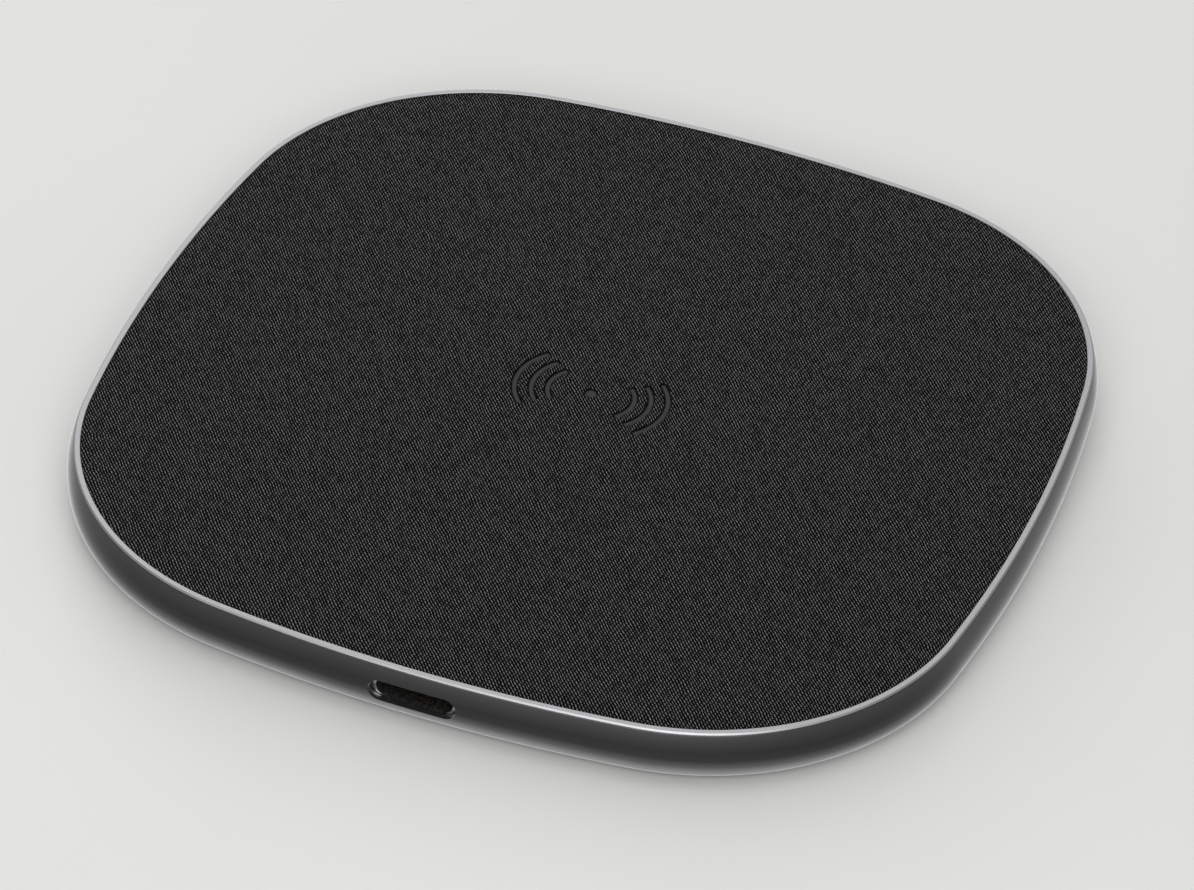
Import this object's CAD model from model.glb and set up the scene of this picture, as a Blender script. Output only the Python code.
# Wireless charging pad: a dark blasted aluminium bowl with a bright cut rim, a woven cover
# with a pressed charging sign, and the coil, ferrite, circuit board and power inlet inside.
import math

import bmesh
import bpy
from mathutils import Matrix, Vector


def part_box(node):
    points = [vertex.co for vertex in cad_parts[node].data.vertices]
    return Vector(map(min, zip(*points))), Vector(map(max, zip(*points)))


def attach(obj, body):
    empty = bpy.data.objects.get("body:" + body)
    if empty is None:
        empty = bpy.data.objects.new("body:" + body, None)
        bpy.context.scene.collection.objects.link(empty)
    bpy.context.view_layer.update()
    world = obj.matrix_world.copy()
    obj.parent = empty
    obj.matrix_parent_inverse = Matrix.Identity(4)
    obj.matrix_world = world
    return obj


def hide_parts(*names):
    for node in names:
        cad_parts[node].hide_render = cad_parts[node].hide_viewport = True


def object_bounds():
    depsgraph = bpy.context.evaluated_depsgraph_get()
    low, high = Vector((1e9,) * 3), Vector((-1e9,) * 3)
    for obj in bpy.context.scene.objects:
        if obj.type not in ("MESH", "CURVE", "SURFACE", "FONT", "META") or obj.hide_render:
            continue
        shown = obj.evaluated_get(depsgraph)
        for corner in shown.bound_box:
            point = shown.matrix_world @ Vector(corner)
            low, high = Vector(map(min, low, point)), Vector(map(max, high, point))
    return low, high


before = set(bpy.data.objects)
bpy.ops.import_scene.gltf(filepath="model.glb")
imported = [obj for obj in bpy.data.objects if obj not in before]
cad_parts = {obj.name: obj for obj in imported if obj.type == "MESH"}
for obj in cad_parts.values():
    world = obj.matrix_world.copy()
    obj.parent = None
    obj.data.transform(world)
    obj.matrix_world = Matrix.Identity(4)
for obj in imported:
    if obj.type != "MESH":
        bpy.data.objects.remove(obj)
cad_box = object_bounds()

# ---- Camera, floor and light ----
# A long lens looks down on the pad from the front and a little to the right. The pad
# stands on a plain pale table in a soft studio: a broad key in front, a wide ceiling
# panel, and two weaker panels behind that draw the far rim and the left corner.
AIM = Vector((0.0, 0.0, 0.007))
CAMERA_TURN = math.radians(18.448)
CAMERA_RISE = math.radians(38.815)
CAMERA_ROLL = math.radians(3.799)
CAMERA_REACH = 0.7007
CAMERA_SIDE = 0.000617
CAMERA_LIFT = -0.00549

back = Vector((
    math.sin(CAMERA_TURN) * math.cos(CAMERA_RISE),
    -math.cos(CAMERA_TURN) * math.cos(CAMERA_RISE),
    math.sin(CAMERA_RISE),
))
level = Vector((math.cos(CAMERA_TURN), math.sin(CAMERA_TURN), 0.0))
upright = back.cross(level)
right = level * math.cos(CAMERA_ROLL) + upright * math.sin(CAMERA_ROLL)
top = upright * math.cos(CAMERA_ROLL) - level * math.sin(CAMERA_ROLL)
lens = bpy.data.cameras.new("studio_camera")
lens.lens = 201.7
lens.sensor_width = 36.0
lens.clip_start = 0.02
lens.clip_end = 20.0
camera = bpy.data.objects.new("studio_camera", lens)
bpy.context.scene.collection.objects.link(camera)
camera.matrix_world = Matrix.Translation(
    AIM + back * CAMERA_REACH + right * CAMERA_SIDE + top * CAMERA_LIFT
) @ Matrix((right, top, back)).transposed().to_4x4()
bpy.context.scene.camera = camera


def finish_named(name, colour, roughness, metallic=0.0):
    """A new material, with its nodes, links and shader."""
    material = bpy.data.materials.new(name)
    material.use_nodes = True
    nodes = material.node_tree.nodes
    shader = nodes["Principled BSDF"]
    shader.inputs["Base Color"].default_value = (*colour, 1.0)
    shader.inputs["Roughness"].default_value = roughness
    shader.inputs["Metallic"].default_value = metallic
    return material, nodes, material.node_tree.links, shader


def place_on_piece(nodes, links, scale=1000.0):
    """The place on a piece, times scale, as a vector: a scale of 1000 gives millimetres."""
    where = nodes.new("ShaderNodeTexCoord")
    sized = nodes.new("ShaderNodeMapping")
    sized.inputs["Scale"].default_value = (scale, scale, scale)
    links.new(where.outputs["Object"], sized.inputs["Vector"])
    return sized.outputs["Vector"]


def grain(nodes, links, place, scale, detail=3.0, rough=0.5):
    """A noise value on a place."""
    noise = nodes.new("ShaderNodeTexNoise")
    noise.inputs["Scale"].default_value = scale
    noise.inputs["Detail"].default_value = detail
    noise.inputs["Roughness"].default_value = rough
    links.new(place, noise.inputs["Vector"])
    return noise.outputs["Fac"]


def between(nodes, links, value, low, high, start=0.0, end=1.0):
    """Maps a value from start..end to low..high."""
    spread = nodes.new("ShaderNodeMapRange")
    spread.inputs["From Min"].default_value = start
    spread.inputs["From Max"].default_value = end
    spread.inputs["To Min"].default_value = low
    spread.inputs["To Max"].default_value = high
    links.new(value, spread.inputs["Value"])
    return spread.outputs["Result"]


def tint(nodes, links, value, stops):
    """Colours along a value: stops are (position, colour)."""
    ramp = nodes.new("ShaderNodeValToRGB")
    band = ramp.color_ramp
    while len(band.elements) < len(stops):
        band.elements.new(0.5)
    for element, (position, colour) in zip(band.elements, stops):
        element.position = position
        element.color = (*colour, 1.0)
    links.new(value, ramp.inputs["Fac"])
    return ramp.outputs["Color"]


def relief(nodes, links, shader, height, depth, strength=1.0, below=None):
    """Raises a surface by height times depth, in metres."""
    bump = nodes.new("ShaderNodeBump")
    bump.inputs["Strength"].default_value = strength
    bump.inputs["Distance"].default_value = depth
    links.new(height, bump.inputs["Height"])
    if below is not None:
        links.new(below, bump.inputs["Normal"])
    links.new(bump.outputs["Normal"], shader.inputs["Normal"])
    return bump.outputs["Normal"]


table_finish, nodes, links, shader = finish_named("pale_table", (0.70, 0.70, 0.69), 0.55)
place = place_on_piece(nodes, links, 1.0)
mottle = grain(nodes, links, place, 6.0, 4.0)
links.new(
    tint(nodes, links, mottle, [(0.3, (0.68, 0.68, 0.67)), (0.7, (0.72, 0.72, 0.71))]),
    shader.inputs["Base Color"],
)
relief(nodes, links, shader, grain(nodes, links, place, 900.0), 0.00003, 0.3)
TABLE_REACH = 4.0
TABLE_GAP = 0.00002
table_corners = [
    (side * TABLE_REACH, depth * TABLE_REACH, -TABLE_GAP)
    for side, depth in ((-1, -1), (1, -1), (1, 1), (-1, 1))
]
table_mesh = bpy.data.meshes.new("table_top")
table_mesh.from_pydata(table_corners, [], [(0, 1, 2, 3)])
table_top = bpy.data.objects.new("table_top", table_mesh)
bpy.context.scene.collection.objects.link(table_top)
table_top.data.materials.append(table_finish)

studio = bpy.data.worlds.new("studio")
studio.use_nodes = True
studio.node_tree.nodes["Background"].inputs["Color"].default_value = (1.0, 1.0, 1.0, 1.0)
studio.node_tree.nodes["Background"].inputs["Strength"].default_value = 0.4
bpy.context.scene.world = studio
bpy.context.scene.view_settings.view_transform = "Standard"


def panel(name, place, width, height, power):
    """A soft light panel that faces the pad."""
    light = bpy.data.lights.new(name, "AREA")
    light.shape = "RECTANGLE"
    light.size = width
    light.size_y = height
    light.energy = power
    stand = bpy.data.objects.new(name, light)
    stand.location = place
    stand.rotation_euler = (Vector(place) - AIM).to_track_quat("Z", "Y").to_euler()
    bpy.context.scene.collection.objects.link(stand)


panel("key_panel", (0.35, -1.2, 0.95), 1.4, 0.8, 16.0)
panel("ceiling_panel", (0.0, 0.3, 1.5), 1.6, 1.2, 6.0)
panel("corner_panel", (-0.85, 1.1, 0.34), 0.9, 0.5, 4.0)
panel("back_panel", (-0.5, 1.25, 1.05), 1.4, 0.9, 3.2)

# ---- Bowl ----
# One aluminium casting: a shallow dish whose wall bows out to a widest line and turns
# under. It is blasted and anodised dark grey outside, masked bare inside, and then the
# rim and its bevels are cut bright. The inlet's slot is milled through the front.
HALF = cad_box[1][0]
PAD_TOP = cad_box[1][2]
SIDE_R = 0.1696
CORNER_R = 0.0303
BOWL_Z = 0.0008
FLOOR_Z = 0.0016
LEDGE_Z = 0.0056
WIDE_Z = 0.004
BROW_IN = 0.00065
BELLY_R = 0.0063
BASE_R = 0.0022
RIM_BEVEL = 0.00015
RIM_W = 0.00055
LEDGE_W = 0.00085
FOOT_R = 0.040
FOOT_W = 0.007
FOOT_GROOVE = 0.0003
FLOOR_FILLET = 0.0006
INNER_BEVEL = 0.00005
FLAT_RINGS = (0.026, 0.018)
FLAT_EDGE = 0.004
ARC_STEPS = 14

side_k = HALF - SIDE_R
corner_c = (2 * side_k + math.sqrt(
    4 * side_k ** 2 - 8 * (side_k ** 2 - (SIDE_R - CORNER_R) ** 2)
)) / 4
side_half = math.atan2(corner_c, corner_c - side_k)
rim_in = BROW_IN + RIM_BEVEL + RIM_W
wall_in = rim_in + LEDGE_W


def outline(inside, side_steps=72, corner_steps=96):
    """Points round the pad, a distance inside its widest line, anticlockwise from the front."""
    points = []
    for quarter in range(4):
        turn = quarter * math.pi / 2
        for i in range(side_steps):
            a = -side_half + 2 * side_half * i / side_steps
            x = side_k + (SIDE_R - inside) * math.cos(a)
            y = (SIDE_R - inside) * math.sin(a)
            points.append((x, y, turn))
        for i in range(corner_steps):
            a = side_half + (math.pi / 2 - 2 * side_half) * i / corner_steps
            x = corner_c + (CORNER_R - inside) * math.cos(a)
            y = corner_c + (CORNER_R - inside) * math.sin(a)
            points.append((x, y, turn))
    return [
        (x * math.cos(t) - y * math.sin(t), x * math.sin(t) + y * math.cos(t))
        for x, y, t in points
    ]


def turned_arc(centre, radius, start, end, steps):
    """Points of a profile's arc, without its last."""
    return [
        (
            centre[0] + radius * math.cos(start + (end - start) * i / steps),
            centre[1] + radius * math.sin(start + (end - start) * i / steps),
        )
        for i in range(steps)
    ]


def skin(name, rings, marks, finishes, sharp=30.0):
    """A closed piece from rings of (inside, height), capped at both ends. A mark is the finish
    of the band that follows a ring."""
    points, faces, picks = [], [], []
    for inside, height in rings:
        points += [(x, y, height) for x, y in outline(inside)]
    count = len(points) // len(rings)
    for ring in range(len(rings) - 1):
        a, b = ring * count, (ring + 1) * count
        for i in range(count):
            j = (i + 1) % count
            faces.append((a + i, a + j, b + j, b + i))
            picks.append(marks[ring])
    for ring, flip in ((0, True), (len(rings) - 1, False)):
        centre = len(points)
        points.append((0.0, 0.0, rings[ring][1]))
        for i in range(count):
            j = (i + 1) % count
            rim = (ring * count + i, ring * count + j)
            faces.append((centre, rim[1], rim[0]) if flip else (centre, rim[0], rim[1]))
            picks.append(marks[min(ring, len(marks) - 1)])
    mesh = bpy.data.meshes.new(name)
    mesh.from_pydata(points, [], faces)
    for finish in finishes:
        mesh.materials.append(finish)
    mesh.polygons.foreach_set("material_index", picks)
    mesh.polygons.foreach_set("use_smooth", [True] * len(faces))
    mesh.set_sharp_from_angle(angle=math.radians(sharp))
    piece = bpy.data.objects.new(name, mesh)
    bpy.context.scene.collection.objects.link(piece)
    return piece


brow_h = PAD_TOP - WIDE_Z - RIM_BEVEL
brow_r = (BROW_IN ** 2 + brow_h ** 2) / (2 * BROW_IN)
brow_turn = math.asin(brow_h / brow_r)
belly_turn = math.asin((WIDE_Z - BOWL_Z - BASE_R) / (BELLY_R - BASE_R))
belly_in = BELLY_R * (1 - math.cos(belly_turn))
base_in = belly_in + BASE_R * math.cos(belly_turn)

under = [(inside, BOWL_Z) for inside in (*FLAT_RINGS, base_in + FLAT_EDGE)]
base_turn = turned_arc(
    (base_in, BOWL_Z + BASE_R), BASE_R, 1.5 * math.pi, math.pi + belly_turn, ARC_STEPS
)
belly = turned_arc((BELLY_R, WIDE_Z), BELLY_R, math.pi + belly_turn, math.pi, ARC_STEPS)
brow = turned_arc((brow_r, WIDE_Z), brow_r, math.pi, math.pi - brow_turn, ARC_STEPS)
rim = [
    (BROW_IN, PAD_TOP - RIM_BEVEL),
    (BROW_IN + RIM_BEVEL, PAD_TOP),
    (rim_in - INNER_BEVEL, PAD_TOP),
    (rim_in, PAD_TOP - INNER_BEVEL),
]
inside_wall = [
    (rim_in, LEDGE_Z),
    (wall_in, LEDGE_Z),
    (wall_in, FLOOR_Z + FLOOR_FILLET),
    (wall_in + FLOOR_FILLET, FLOOR_Z),
    *((inside, FLOOR_Z) for inside in reversed(FLAT_RINGS)),
]
rings = under + base_turn + belly + brow + rim + inside_wall
outer_count = len(under + base_turn + belly + brow)
marks = [0] * outer_count + [1, 1, 1] + [2] * (len(inside_wall) + 1)


def maths(nodes, links, operation, *values):
    """A math node; each value is a number or another node's output."""
    node = nodes.new("ShaderNodeMath")
    node.operation = operation
    for socket, value in zip(node.inputs, values):
        if isinstance(value, (int, float)):
            socket.default_value = value
        else:
            links.new(value, socket)
    return node.outputs[0]


# The anodising is palest low on the wall and darkest just above the widest line.
PAD_TOP_MM = 7.0
blasted, nodes, links, shader = finish_named(
    "blasted_anodised_metal", (0.07, 0.071, 0.074), 0.34, 1.0
)
shader.inputs["Sheen Weight"].default_value = 1.0
shader.inputs["Sheen Roughness"].default_value = 0.25
place = place_on_piece(nodes, links)
pits = grain(nodes, links, place, 7.0, 4.0, 0.6)
cloud = grain(nodes, links, place, 0.12, 3.0)
up_the_wall = nodes.new("ShaderNodeSeparateXYZ")
links.new(place, up_the_wall.inputs["Vector"])
height = maths(nodes, links, "MULTIPLY_ADD", up_the_wall.outputs["Z"], 1.0 / PAD_TOP_MM, 0.0)
height = maths(nodes, links, "MULTIPLY_ADD", cloud, 0.04, height)
links.new(
    tint(nodes, links, height, [
        (0.15, (0.090, 0.091, 0.093)), (0.21, (0.660, 0.661, 0.665)),
        (0.33, (0.440, 0.441, 0.444)), (0.46, (0.150, 0.151, 0.153)),
        (0.58, (0.052, 0.053, 0.055)), (0.72, (0.042, 0.043, 0.045)),
        (0.86, (0.060, 0.061, 0.063)), (0.99, (0.092, 0.093, 0.095)),
    ]),
    shader.inputs["Base Color"],
)
links.new(between(nodes, links, pits, 0.30, 0.42, 0.3, 0.7), shader.inputs["Roughness"])
relief(nodes, links, shader, pits, 0.000012, 0.5)

cut_bright, nodes, links, shader = finish_named(
    "bright_cut_metal", (0.40, 0.40, 0.41), 0.46, 1.0
)
place = place_on_piece(nodes, links)
tool_marks = grain(nodes, links, place, 22.0, 2.0)
links.new(
    tint(nodes, links, tool_marks, [(0.3, (0.38, 0.38, 0.39)), (0.7, (0.42, 0.42, 0.43))]),
    shader.inputs["Base Color"],
)
links.new(between(nodes, links, tool_marks, 0.42, 0.52, 0.3, 0.7), shader.inputs["Roughness"])
relief(nodes, links, shader, tool_marks, 0.000002, 0.3)

masked_bare, nodes, links, shader = finish_named(
    "masked_bare_metal", (0.24, 0.24, 0.245), 0.45, 1.0
)
place = place_on_piece(nodes, links)
cast_grain = grain(nodes, links, place, 5.0, 4.0, 0.6)
links.new(
    tint(nodes, links, grain(nodes, links, place, 0.15, 3.0), [
        (0.3, (0.20, 0.20, 0.205)), (0.7, (0.28, 0.28, 0.285))
    ]),
    shader.inputs["Base Color"],
)
links.new(between(nodes, links, cast_grain, 0.38, 0.52, 0.3, 0.7), shader.inputs["Roughness"])
relief(nodes, links, shader, cast_grain, 0.00002, 0.5)

bowl = skin("bowl", rings, marks, [blasted, cut_bright, masked_bare])


def prism(name, loops):
    """A closed solid from matching loops of points."""
    count = len(loops[0])
    points = [p for loop in loops for p in loop]
    faces = [tuple(range(count)), tuple(reversed(range((len(loops) - 1) * count, len(points))))]
    for ring in range(len(loops) - 1):
        for i in range(count):
            j = (i + 1) % count
            a, b = ring * count, (ring + 1) * count
            faces.append((a + j, a + i, b + i, b + j))
    mesh = bpy.data.meshes.new(name)
    mesh.from_pydata(points, [], faces)
    work = bmesh.new()
    work.from_mesh(mesh)
    bmesh.ops.recalc_face_normals(work, faces=work.faces)
    work.to_mesh(mesh)
    work.free()
    piece = bpy.data.objects.new(name, mesh)
    bpy.context.scene.collection.objects.link(piece)
    return piece


PORT_Z = 0.004


def slot_loop(y, width, height, steps=20):
    """A slot's edge with round ends, in an upright plane at y, round the inlet's middle."""
    points = []
    for side in (1, -1):
        for i in range(steps + 1):
            a = -math.pi / 2 + math.pi * i / steps
            points.append((
                side * ((width - height) / 2 + height / 2 * math.cos(a)),
                y,
                PORT_Z + side * height / 2 * math.sin(a),
            ))
    return points


def carved(piece, cutters, added=()):
    """Joins the added shapes to a piece and takes the cutters away from it, for good."""
    for shape in [*added, *cutters]:
        step = piece.modifiers.new(shape.name, "BOOLEAN")
        step.object = shape
        step.operation = "UNION" if shape in added else "DIFFERENCE"
        step.solver = "EXACT"
    bpy.context.view_layer.update()
    graph = bpy.context.evaluated_depsgraph_get()
    shaped = bpy.data.meshes.new_from_object(piece.evaluated_get(graph))
    piece.modifiers.clear()
    piece.data = shaped
    shaped.set_sharp_from_angle(angle=math.radians(30.0))
    for shape in [*added, *cutters]:
        bpy.data.objects.remove(shape)


SLOT_W = 0.0094
SLOT_H = 0.0025
SLOT_DEPTH = 0.004
SLOT_CHAMFER = 0.00013
CHAMFER_SPARE = 0.0004
LIP_T = 0.0009
SHELL_H = 0.00316
POCKET_DEPTH = 0.0055
POCKET_GAP = 0.0001
POCKET_RISE = 0.00009
chamfer_growth = 2 * (SLOT_CHAMFER + CHAMFER_SPARE)
slot_cut = prism("slot_cut", [
    slot_loop(-HALF + SLOT_DEPTH, SLOT_W, SLOT_H),
    slot_loop(-HALF + SLOT_CHAMFER, SLOT_W, SLOT_H),
    slot_loop(-HALF - CHAMFER_SPARE, SLOT_W + chamfer_growth, SLOT_H + chamfer_growth),
])
pocket_low = PORT_Z - SHELL_H / 2 - POCKET_GAP
pocket_top = LEDGE_Z + POCKET_RISE
pocket_cut = prism("pocket_cut", [
    [
        (-SLOT_W / 2, y, pocket_low), (SLOT_W / 2, y, pocket_low),
        (SLOT_W / 2, y, pocket_top), (-SLOT_W / 2, y, pocket_top),
    ]
    for y in (-HALF + POCKET_DEPTH, -HALF + LIP_T)
])


def round_loop(centre, radius, z, steps):
    """A circle of points at height z."""
    return [
        (
            centre[0] + radius * math.cos(2 * math.pi * i / steps),
            centre[1] + radius * math.sin(2 * math.pi * i / steps),
            z,
        )
        for i in range(steps)
    ]


def ring_band(name, rings_of, steps=256):
    """A closed band of revolution from (radius, height) points."""
    points, faces = [], []
    for radius, z in rings_of:
        points += round_loop((0.0, 0.0), radius, z, steps)
    for ring in range(len(rings_of)):
        a, b = ring * steps, ((ring + 1) % len(rings_of)) * steps
        for i in range(steps):
            j = (i + 1) % steps
            faces.append((a + i, a + j, b + j, b + i))
    mesh = bpy.data.meshes.new(name)
    mesh.from_pydata(points, [], faces)
    piece = bpy.data.objects.new(name, mesh)
    bpy.context.scene.collection.objects.link(piece)
    return piece


def round_bar(name, centre, radius, low, high):
    """A closed upright cylinder."""
    return prism(name, [round_loop(centre, radius, low, 48), round_loop(centre, radius, high, 48)])


# Four bosses take the case screws, under the foot, and three posts take the board's.
CUT_SPARE = 0.001
CASE_BOSS_R = 0.0032
HEAD_BORE_R = 0.0020
SHANK_BORE_R = 0.00115
POST_R = 0.0018
THREAD_BORE_R = 0.00081
BOSS_ROOT_Z = BOWL_Z + 0.0004
THREAD_BORE_Z = BOWL_Z + 0.0003
COUNTERBORE_Z = BOWL_Z + FOOT_GROOVE + 0.0008
CASE_BOSS_TOP = COUNTERBORE_Z + 0.0006
BOARD_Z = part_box("main_board")[0][2]
BOARD_HEAD_R = 0.0014
FRONT_POST_X = -0.0125
screw_low, screw_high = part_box("board_screws")
case_reach = FOOT_R * math.sqrt(0.5)
case_places = [
    (side * case_reach, depth * case_reach) for side in (-1, 1) for depth in (-1, 1)
]
board_places = [
    (screw_low[0] + BOARD_HEAD_R, screw_high[1] - BOARD_HEAD_R),
    (screw_high[0] - BOARD_HEAD_R, screw_high[1] - BOARD_HEAD_R),
    (FRONT_POST_X, screw_low[1] + BOARD_HEAD_R),
]
bosses = [
    *(round_bar("boss", place, CASE_BOSS_R, BOSS_ROOT_Z, CASE_BOSS_TOP) for place in case_places),
    *(round_bar("post", place, POST_R, BOSS_ROOT_Z, BOARD_Z) for place in board_places),
]
below = BOWL_Z - CUT_SPARE
bores = [
    *(round_bar("head_bore", place, HEAD_BORE_R, below, COUNTERBORE_Z) for place in case_places),
    *(
        round_bar("shank_bore", place, SHANK_BORE_R, below, CASE_BOSS_TOP + CUT_SPARE)
        for place in case_places
    ),
    *(
        round_bar("thread_bore", place, THREAD_BORE_R, THREAD_BORE_Z, BOARD_Z + CUT_SPARE)
        for place in board_places
    ),
]
FOOT_GAP = 0.0001
groove_in = FOOT_R - FOOT_W / 2 - FOOT_GAP
groove_out = FOOT_R + FOOT_W / 2 + FOOT_GAP
groove_cut = ring_band("groove_cut", [
    (groove_in, below), (groove_out, below),
    (groove_out, BOWL_Z + FOOT_GROOVE), (groove_in, BOWL_Z + FOOT_GROOVE),
])
carved(bowl, [slot_cut, pocket_cut, groove_cut, *bores], bosses)
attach(bowl, "root")
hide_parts("housing")

# ---- Foot ring ----
# A flat ring of moulded silicone in the bowl's groove, held by a ring of tape. Its
# edges are rounded and its face has a fine matt spark-eroded texture.
silicone, nodes, links, shader = finish_named("matt_silicone", (0.032, 0.032, 0.034), 0.7)
place = place_on_piece(nodes, links)
texture = grain(nodes, links, place, 9.0, 4.0, 0.6)
dust = grain(nodes, links, place, 0.4, 3.0)
links.new(
    tint(nodes, links, dust, [(0.35, (0.028, 0.028, 0.030)), (0.7, (0.042, 0.042, 0.043))]),
    shader.inputs["Base Color"],
)
links.new(between(nodes, links, texture, 0.6, 0.8, 0.3, 0.7), shader.inputs["Roughness"])
relief(nodes, links, shader, texture, 0.00003, 0.6)


def refinish(node, finish, edge=None):
    """Gives a CAD node its finish, and a rounded edge where the real piece has one."""
    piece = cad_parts[node]
    piece.data.materials.clear()
    piece.data.materials.append(finish)
    if edge:
        rounding = piece.modifiers.new("rounded_edge", "BEVEL")
        rounding.width = edge
        rounding.segments = 3
        rounding.limit_method = "ANGLE"
        rounding.angle_limit = math.radians(40.0)


# It stands on a land along each edge, and its middle is sunk a little between them.
FOOT_EDGE = 0.0004
FOOT_LAND = 0.0012
FOOT_SUNK = 0.00012
FOOT_SLOPE = 0.0002
foot_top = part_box("foot_ring")[1][2]
foot_in = FOOT_R - FOOT_W / 2
foot_out = FOOT_R + FOOT_W / 2
sunk_in = FOOT_LAND + FOOT_SLOPE
foot_profile = (
    turned_arc((foot_in + FOOT_EDGE, FOOT_EDGE), FOOT_EDGE, math.pi, 1.5 * math.pi, 6)
    + [(foot_in + FOOT_EDGE, 0.0), (foot_in + FOOT_LAND, 0.0), (foot_in + sunk_in, FOOT_SUNK)]
    + [(foot_out - sunk_in, FOOT_SUNK), (foot_out - FOOT_LAND, 0.0)]
    + turned_arc((foot_out - FOOT_EDGE, FOOT_EDGE), FOOT_EDGE, 1.5 * math.pi, 2 * math.pi, 6)
    + [(foot_out, FOOT_EDGE), (foot_out, foot_top), (foot_in, foot_top)]
)
foot = ring_band("foot", foot_profile)
foot.data.materials.append(silicone)
foot.data.polygons.foreach_set("use_smooth", [True] * len(foot.data.polygons))
foot.data.set_sharp_from_angle(angle=math.radians(40.0))
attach(foot, "root")
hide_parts("foot_ring")


def film_finish(name, low, high, roughness):
    """Adhesive film: pale, a little cloudy, with fine wrinkles."""
    finish, nodes, links, shader = finish_named(name, low, roughness)
    place = place_on_piece(nodes, links)
    cloud = grain(nodes, links, place, 0.5, 4.0)
    links.new(tint(nodes, links, cloud, [(0.35, low), (0.65, high)]), shader.inputs["Base Color"])
    wrinkle = grain(nodes, links, place, 2.5, 2.0)
    relief(nodes, links, shader, wrinkle, 0.00003, 0.3)
    return finish


refinish("foot_tape", film_finish("foot_adhesive", (0.60, 0.56, 0.44), (0.72, 0.69, 0.58), 0.5))


# ---- Screws ----
# Four steel screws hold the top plate to the bowl and three hold the circuit board.
# They are headed and rolled wire, zinc plated, with a faint turned grain.
def plated_finish(name, low, high, roughness, size=6.0, depth=0.000004):
    """Plated or polished metal with faint clouds and a fine grain."""
    finish, nodes, links, shader = finish_named(name, low, roughness, 1.0)
    place = place_on_piece(nodes, links)
    cloud = grain(nodes, links, place, size, 3.0)
    links.new(tint(nodes, links, cloud, [(0.3, low), (0.7, high)]), shader.inputs["Base Color"])
    links.new(
        between(nodes, links, cloud, roughness * 0.75, roughness * 1.3, 0.3, 0.7),
        shader.inputs["Roughness"],
    )
    relief(nodes, links, shader, grain(nodes, links, place, size * 6), depth, 0.5)
    return finish


zinc = plated_finish("zinc_plate", (0.50, 0.51, 0.53), (0.64, 0.65, 0.66), 0.3)
refinish("case_screws", zinc, 0.00008)
refinish("board_screws", zinc, 0.00006)


# ---- Circuit board ----
# A four-layer glass laminate board under green solder mask, with copper tracks that
# show through, and gold flashed pads. An amber film keeps it off the bowl and a soft
# blue pad takes its heat.
def board_finish():
    """Green mask over glass cloth and tracks."""
    finish, nodes, links, shader = finish_named("solder_mask", (0.01, 0.09, 0.04), 0.3)
    place = place_on_piece(nodes, links)
    tracks = nodes.new("ShaderNodeTexBrick")
    tracks.inputs["Scale"].default_value = 1.0
    tracks.inputs["Mortar Size"].default_value = 0.12
    tracks.inputs["Brick Width"].default_value = 3.4
    tracks.inputs["Row Height"].default_value = 0.55
    tracks.inputs["Color1"].default_value = (0.008, 0.075, 0.033, 1.0)
    tracks.inputs["Color2"].default_value = (0.010, 0.088, 0.040, 1.0)
    tracks.inputs["Mortar"].default_value = (0.016, 0.140, 0.062, 1.0)
    links.new(place, tracks.inputs["Vector"])
    links.new(tracks.outputs["Color"], shader.inputs["Base Color"])
    cloth = nodes.new("ShaderNodeTexWave")
    cloth.inputs["Scale"].default_value = 1.2
    links.new(place, cloth.inputs["Vector"])
    lower = relief(nodes, links, shader, cloth.outputs["Fac"], 0.000006, 0.4)
    relief(nodes, links, shader, tracks.outputs["Fac"], 0.00003, 0.7, lower)
    shader.inputs["Coat Weight"].default_value = 0.3
    return finish


refinish("main_board", board_finish(), 0.00005)


def moulded_finish(name, low, high, roughness, size=5.0, depth=0.00001):
    """Moulded plastic, resin or pressed powder: an even tone with a fine eroded grain."""
    finish, nodes, links, shader = finish_named(name, low, roughness)
    place = place_on_piece(nodes, links)
    cloud = grain(nodes, links, place, 0.6, 3.0)
    links.new(tint(nodes, links, cloud, [(0.3, low), (0.7, high)]), shader.inputs["Base Color"])
    fine = grain(nodes, links, place, size, 4.0, 0.6)
    links.new(
        between(nodes, links, fine, roughness * 0.85, min(1.0, roughness * 1.2), 0.3, 0.7),
        shader.inputs["Roughness"],
    )
    relief(nodes, links, shader, fine, depth, 0.6)
    return finish


refinish("insulation_sheet", moulded_finish(
    "amber_film", (0.42, 0.19, 0.02), (0.55, 0.27, 0.035), 0.22, 2.0, 0.000006
))
refinish("thermal_pad", moulded_finish(
    "heat_pad", (0.20, 0.34, 0.50), (0.28, 0.44, 0.62), 0.6, 3.0, 0.00004
), 0.0001)
gold = plated_finish("gold_flash", (0.78, 0.54, 0.17), (0.88, 0.66, 0.27), 0.25)
refinish("solder_pads", gold)
solder = plated_finish("bright_solder", (0.62, 0.62, 0.64), (0.76, 0.76, 0.78), 0.2, 3.0, 0.00002)
refinish("solder_joints", solder)

# ---- Inlet ----
# A reversible power receptacle: a deep-drawn nickel-plated steel shell round a black
# glass-filled insulator, whose tongue carries a steel latch plate and 24 gold contacts.
nickel = plated_finish("nickel_plate", (0.46, 0.46, 0.47), (0.58, 0.58, 0.59), 0.28, 3.0)
refinish("usb_shell", nickel)
refinish("usb_latch_plate", nickel)
refinish("usb_insulator", moulded_finish(
    "glass_filled_plastic", (0.030, 0.030, 0.031), (0.045, 0.045, 0.046), 0.5
), 0.00006)
refinish("usb_contacts", gold)
refinish("usb_tails", solder)

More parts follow.
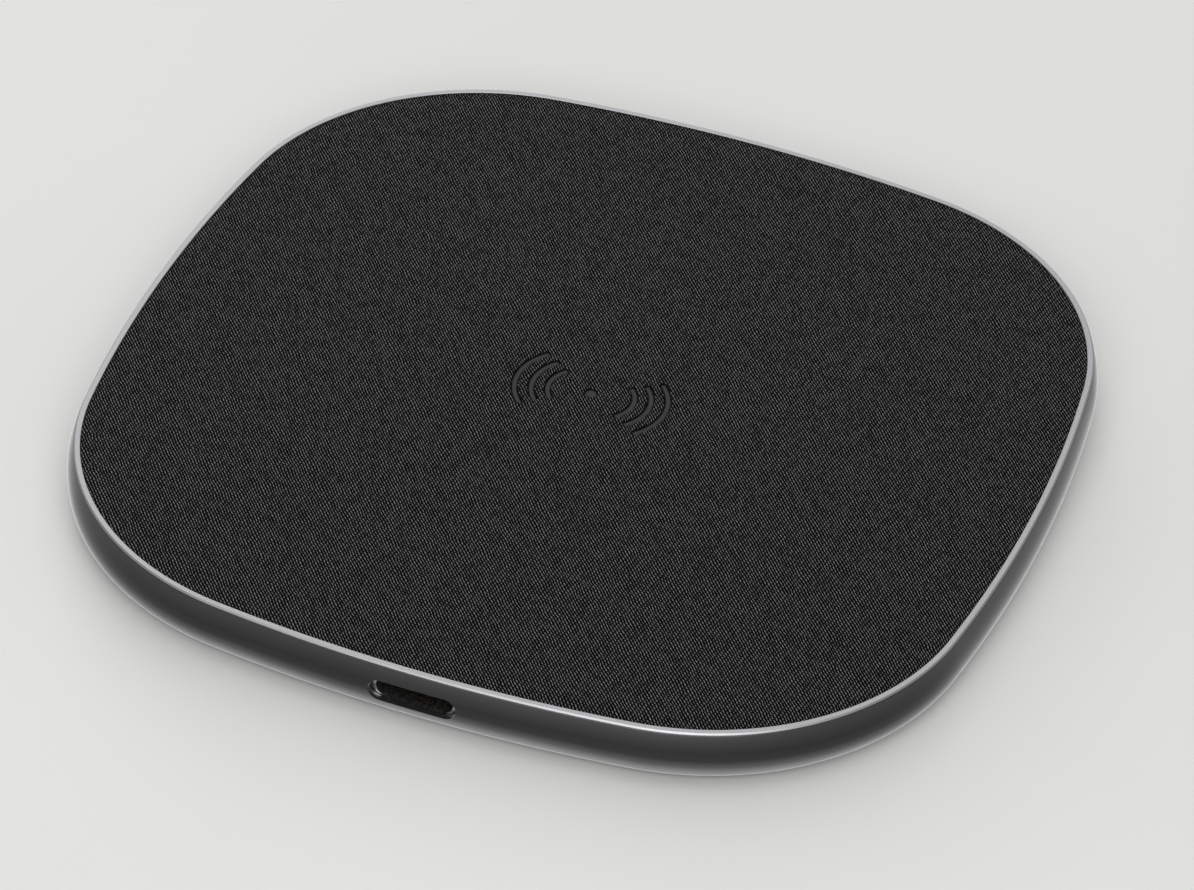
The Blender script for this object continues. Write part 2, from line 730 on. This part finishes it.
# ---- Chips and small parts ----
# A controller and two bridge drivers in moulded resin, ceramic capacitors, a pressed
# powder inductor and a sealed crystal can, all soldered to the board's top.
resin = moulded_finish("moulded_resin", (0.016, 0.016, 0.018), (0.024, 0.024, 0.026), 0.45)
refinish("control_chip", resin, 0.00008)
refinish("bridge_chips", resin, 0.00008)
refinish("small_parts", resin, 0.00005)
ceramic = moulded_finish("sintered_ceramic", (0.38, 0.26, 0.15), (0.50, 0.37, 0.24), 0.4)
refinish("tuning_capacitors", ceramic, 0.00012)
refinish("input_capacitors", ceramic, 0.0001)
refinish("power_inductor", moulded_finish(
    "pressed_powder", (0.09, 0.09, 0.095), (0.14, 0.14, 0.145), 0.65, 8.0, 0.00003
), 0.0002)
refinish("crystal", plated_finish(
    "sealed_can", (0.60, 0.60, 0.62), (0.74, 0.74, 0.76), 0.22, 2.0
), 0.00015)

# ---- Ferrite, foam and coil ----
# A sintered ferrite disc lies on a foam ring that presses it up. The coil is a flat
# spiral of stranded enamelled wire, glued to the ferrite and taped to the top plate.
refinish("ferrite_disc", moulded_finish(
    "sintered_ferrite", (0.055, 0.055, 0.060), (0.095, 0.095, 0.100), 0.35, 4.0, 0.00002
), 0.0001)


def foam_finish():
    """Open-cell foam: dark pores between paler struts."""
    finish, nodes, links, shader = finish_named("open_cell_foam", (0.06, 0.06, 0.06), 0.9)
    place = place_on_piece(nodes, links)
    cells = nodes.new("ShaderNodeTexVoronoi")
    cells.inputs["Scale"].default_value = 3.5
    links.new(place, cells.inputs["Vector"])
    links.new(
        tint(nodes, links, cells.outputs["Distance"], [
            (0.1, (0.012, 0.012, 0.012)), (0.6, (0.085, 0.085, 0.085))
        ]),
        shader.inputs["Base Color"],
    )
    relief(nodes, links, shader, cells.outputs["Distance"], 0.00015, 0.9)
    return finish


refinish("coil_foam", foam_finish())


def stranded_finish():
    """Bundled enamelled strands, wound round the wire: fine slanted copper lines."""
    finish, nodes, links, shader = finish_named("enamelled_strands", (0.62, 0.29, 0.12), 0.28, 1.0)
    place = place_on_piece(nodes, links)
    strands = nodes.new("ShaderNodeTexWave")
    strands.bands_direction = "DIAGONAL"
    strands.inputs["Scale"].default_value = 1.6
    strands.inputs["Distortion"].default_value = 1.5
    strands.inputs["Detail"].default_value = 2.0
    links.new(place, strands.inputs["Vector"])
    links.new(
        tint(nodes, links, strands.outputs["Fac"], [
            (0.1, (0.34, 0.12, 0.04)), (0.6, (0.66, 0.32, 0.14))
        ]),
        shader.inputs["Base Color"],
    )
    relief(nodes, links, shader, strands.outputs["Fac"], 0.00004, 0.8)
    shader.inputs["Coat Weight"].default_value = 0.4
    return finish


copper = stranded_finish()
refinish("charging_coil", copper)
refinish("coil_leads", copper)
refinish("coil_glue", film_finish("coil_glue_film", (0.66, 0.58, 0.26), (0.78, 0.70, 0.38), 0.35))
refinish("coil_tape", film_finish("coil_adhesive", (0.62, 0.56, 0.40), (0.74, 0.69, 0.54), 0.45))

# ---- Temperature sensor ----
# A dipped resin bead in the middle of the coil, glued to the plate, on two fine wires
# in thin yellow sleeves that run out through the coil's lead slot.
refinish("thermistor", moulded_finish(
    "dipped_bead", (0.016, 0.085, 0.028), (0.028, 0.120, 0.045), 0.18, 2.0
), 0.0002)
refinish("thermistor_leads", moulded_finish(
    "thin_sleeve", (0.58, 0.38, 0.03), (0.70, 0.50, 0.06), 0.35, 3.0
))

# ---- Top plate and film ----
# The plate is moulded in black plastic with an eroded finish, and stands on the bowl's
# ledge. The film that bonds the cover to it is cut a little smaller than the cover.
refinish("top_plate", moulded_finish(
    "moulded_plate", (0.040, 0.040, 0.042), (0.055, 0.055, 0.057), 0.5, 4.0, 0.00002
))
refinish("cover_film", film_finish("cover_adhesive", (0.60, 0.57, 0.46), (0.72, 0.69, 0.58), 0.45))

# ---- Woven cover ----
# A disc of near-black synthetic cloth, 0.5 mm thick with its backing, die-cut to the
# rim and bonded down flat. The charging sign is heat-pressed into it, which melts the
# weave smooth and rolls its edges.
COVER_T = 0.0005
COVER_IN = rim_in + 0.00005
SIGN_DEPTH = 0.0002
SIGN_REACH = (0.00465, 0.0064, 0.0082)
SIGN_LINE = 0.00062
SIGN_SPAN = math.radians(45.0)
SIGN_DOT = 0.0013
SIGN_HALF_W = 0.0090
SIGN_HALF_H = 0.0062
SIGN_SHARE = 0.25
WAVE_ROUNDNESS = 0.77
PRESS_SOFT = 0.00022
FINE_STEP = 0.00011
COARSE_STEP = 0.0011
SKIN_GAP = 0.00002
EDGE_ROLL = 0.0004
EDGE_DROP = 0.00012


def sign_distance(x, y):
    """How far a place is from the nearest line of the sign's waves and dot; negative inside."""
    nearest = math.hypot(x, y) - SIGN_DOT / 2
    for reach in SIGN_REACH:
        radius = WAVE_ROUNDNESS * reach
        u = abs(x) - (reach - radius)
        angle = math.atan2(y, u)
        if abs(angle) <= SIGN_SPAN:
            away = abs(math.hypot(u, y) - radius) - SIGN_LINE / 2
        else:
            end = math.copysign(SIGN_SPAN, angle)
            away = max(
                abs(math.hypot(u, y) - radius) - SIGN_LINE / 2,
                math.hypot(u, y) * math.sin(min(abs(angle) - SIGN_SPAN, math.pi / 2)),
            )
            if u * math.cos(end) + y * math.sin(end) < 0:
                away = math.hypot(u, y)
        nearest = min(nearest, away)
    return nearest


def graded(half, fine_half, fine_step, coarse_step):
    """Lines from -half to half, close together in the middle."""
    lines = []
    value = 0.0
    step = fine_step
    while value < half - step * 0.7:
        lines.append(value)
        if value >= fine_half:
            step = min(step * 1.12, coarse_step)
        value += step
    lines.append(half)
    return [-v for v in reversed(lines[1:])] + lines


def outline_reach(angle):
    """How far the cover's edge is from its middle, in a direction."""
    turn = round(angle / (math.pi / 2)) * (math.pi / 2)
    a = abs(angle - turn)
    radius = SIDE_R - COVER_IN
    reach = side_k * math.cos(a) + math.sqrt(radius ** 2 - (side_k * math.sin(a)) ** 2)
    if math.atan2(reach * math.sin(a), reach * math.cos(a) - side_k) > side_half:
        along = corner_c * math.cos(a) + corner_c * math.sin(a)
        radius = CORNER_R - COVER_IN
        reach = along + math.sqrt(along ** 2 - 2 * corner_c ** 2 + radius ** 2)
    return reach


def smooth_step(value):
    """Eases a value from 0 to 1 with level ends."""
    value = min(max(value, 0.0), 1.0)
    return value * value * (3.0 - 2.0 * value)


half_cover = HALF - COVER_IN
across = graded(half_cover, SIGN_HALF_W, FINE_STEP, COARSE_STEP)
along = graded(half_cover, SIGN_HALF_H, FINE_STEP, COARSE_STEP)
cover_points, pressed = [], []
for y in along:
    for x in across:
        share = max(abs(x), abs(y)) / half_cover
        angle = math.atan2(y, x) if share > 0 else 0.0
        square_reach = half_cover / max(abs(math.cos(angle)), abs(math.sin(angle)))
        blend = smooth_step((share - 0.3) / 0.65)
        reach = share * (square_reach * (1.0 - blend) + outline_reach(angle) * blend)
        px, py = reach * math.cos(angle), reach * math.sin(angle)
        edge = (1.0 - share) * half_cover
        roll = max(0.0, 1.0 - edge / EDGE_ROLL)
        press = 0.0
        if share < SIGN_SHARE:
            press = smooth_step(0.5 - sign_distance(px, py) / PRESS_SOFT)
        height = PAD_TOP - SKIN_GAP - EDGE_DROP * roll ** 2 - SIGN_DEPTH * press
        cover_points.append((px, py, height))
        pressed.append(press)
columns, rows = len(across), len(along)
cover_faces = [
    (j * columns + i, j * columns + i + 1, (j + 1) * columns + i + 1, (j + 1) * columns + i)
    for j in range(rows - 1) for i in range(columns - 1)
]
edge_loop = (
    [i for i in range(columns)]
    + [j * columns + columns - 1 for j in range(1, rows)]
    + [(rows - 1) * columns + i for i in range(columns - 2, -1, -1)]
    + [j * columns for j in range(rows - 2, 0, -1)]
)
low_edge = len(cover_points)
for index in edge_loop:
    x, y, _ = cover_points[index]
    cover_points.append((x, y, PAD_TOP - COVER_T))
    pressed.append(0.0)
middle = len(cover_points)
cover_points.append((0.0, 0.0, PAD_TOP - COVER_T))
pressed.append(0.0)
for k, index in enumerate(edge_loop):
    following = (k + 1) % len(edge_loop)
    cover_faces.append((index, low_edge + k, low_edge + following, edge_loop[following]))
    cover_faces.append((low_edge + following, low_edge + k, middle))
cover_mesh = bpy.data.meshes.new("woven_cover")
cover_mesh.from_pydata(cover_points, [], cover_faces)
cover_mesh.polygons.foreach_set("use_smooth", [True] * len(cover_faces))
cover_mesh.set_sharp_from_angle(angle=math.radians(50.0))
mark = cover_mesh.attributes.new("pressed", "FLOAT", "POINT")
mark.data.foreach_set("value", pressed)
cover = bpy.data.objects.new("woven_cover", cover_mesh)
bpy.context.scene.collection.objects.link(cover)


RIB_SLANT = math.radians(50.0)
RIB_PITCH_MM = 0.294
FLOAT_LENGTH_MM = 0.56
FLOAT_SHIFT = 0.41
RIB_WANDER_MM = 0.4
ROUND_FALL = -9.0
FLOAT_LIFT = (0.84, 1.0)
HAIR_HEIGHT = 0.24


def woven_finish():
    """Slanted ribs of short raised floats, each a little different, over dark gaps."""
    finish, nodes, links, shader = finish_named("woven_cloth", (0.03, 0.03, 0.032), 0.6)
    place = place_on_piece(nodes, links)
    drift = nodes.new("ShaderNodeTexNoise")
    drift.inputs["Scale"].default_value = 0.55
    drift.inputs["Detail"].default_value = 3.0
    links.new(place, drift.inputs["Vector"])
    wander = nodes.new("ShaderNodeVectorMath")
    wander.operation = "MULTIPLY_ADD"
    wander.inputs[1].default_value = (RIB_WANDER_MM, RIB_WANDER_MM, 0.0)
    links.new(drift.outputs["Color"], wander.inputs[0])
    links.new(place, wander.inputs[2])
    turned = nodes.new("ShaderNodeMapping")
    turned.inputs["Rotation"].default_value = (0.0, 0.0, RIB_SLANT)
    links.new(wander.outputs["Vector"], turned.inputs["Vector"])
    split = nodes.new("ShaderNodeSeparateXYZ")
    links.new(turned.outputs["Vector"], split.inputs["Vector"])
    rib = maths(nodes, links, "DIVIDE", split.outputs["Y"], RIB_PITCH_MM)
    rib_number = maths(nodes, links, "FLOOR", rib)
    run = maths(nodes, links, "DIVIDE", split.outputs["X"], FLOAT_LENGTH_MM)
    run = maths(nodes, links, "MULTIPLY_ADD", rib_number, FLOAT_SHIFT, run)
    run_number = maths(nodes, links, "FLOOR", run)
    rib_across = maths(nodes, links, "SUBTRACT", maths(nodes, links, "FRACT", rib), 0.5)
    run_along = maths(nodes, links, "SUBTRACT", maths(nodes, links, "FRACT", run), 0.5)
    round_across = maths(nodes, links, "MULTIPLY", rib_across, rib_across)
    round_along = maths(nodes, links, "POWER", maths(nodes, links, "ABSOLUTE", run_along), 4.0)
    height = maths(nodes, links, "MULTIPLY_ADD", round_across, ROUND_FALL, 1.0)
    height = maths(nodes, links, "MULTIPLY_ADD", round_along, ROUND_FALL, height)
    height = maths(nodes, links, "MAXIMUM", height, 0.0)
    pair = nodes.new("ShaderNodeCombineXYZ")
    links.new(rib_number, pair.inputs["X"])
    links.new(run_number, pair.inputs["Y"])
    chance = nodes.new("ShaderNodeTexWhiteNoise")
    chance.noise_dimensions = "2D"
    links.new(pair.outputs["Vector"], chance.inputs["Vector"])
    lift = between(nodes, links, chance.outputs["Value"], *FLOAT_LIFT)
    height = maths(nodes, links, "MULTIPLY", height, lift)
    hairs = grain(nodes, links, place, 9.0, 3.0, 0.65)
    height = maths(nodes, links, "MULTIPLY_ADD", hairs, HAIR_HEIGHT, height)
    mark = nodes.new("ShaderNodeAttribute")
    mark.attribute_name = "pressed"
    woven = maths(nodes, links, "MULTIPLY_ADD", mark.outputs["Fac"], -1.0, 1.0)
    height = maths(nodes, links, "MULTIPLY", height, woven)
    cloth_colour = tint(nodes, links, height, [
        (0.36, (0.0003, 0.0003, 0.0004)), (0.68, (0.004, 0.004, 0.0044)),
        (0.86, (0.036, 0.036, 0.037)), (1.0, (0.185, 0.185, 0.188))
    ])
    mix = nodes.new("ShaderNodeMix")
    mix.data_type = "RGBA"
    links.new(mark.outputs["Fac"], mix.inputs["Factor"])
    links.new(cloth_colour, mix.inputs["A"])
    crease = maths(nodes, links, "MULTIPLY", mark.outputs["Fac"], woven)
    smooth_colour = tint(nodes, links, crease, [
        (0.02, (0.046, 0.046, 0.047)), (0.20, (0.006, 0.006, 0.006))
    ])
    links.new(smooth_colour, mix.inputs["B"])
    links.new(mix.outputs["Result"], shader.inputs["Base Color"])
    dull = between(nodes, links, chance.outputs["Value"], 0.62, 0.38)
    links.new(dull, shader.inputs["Roughness"])
    relief(nodes, links, shader, height, 0.00009, 0.9)
    shader.inputs["Specular IOR Level"].default_value = 0.02
    return finish


cover_mesh.materials.append(woven_finish())
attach(cover, "root")
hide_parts("fabric_cover")
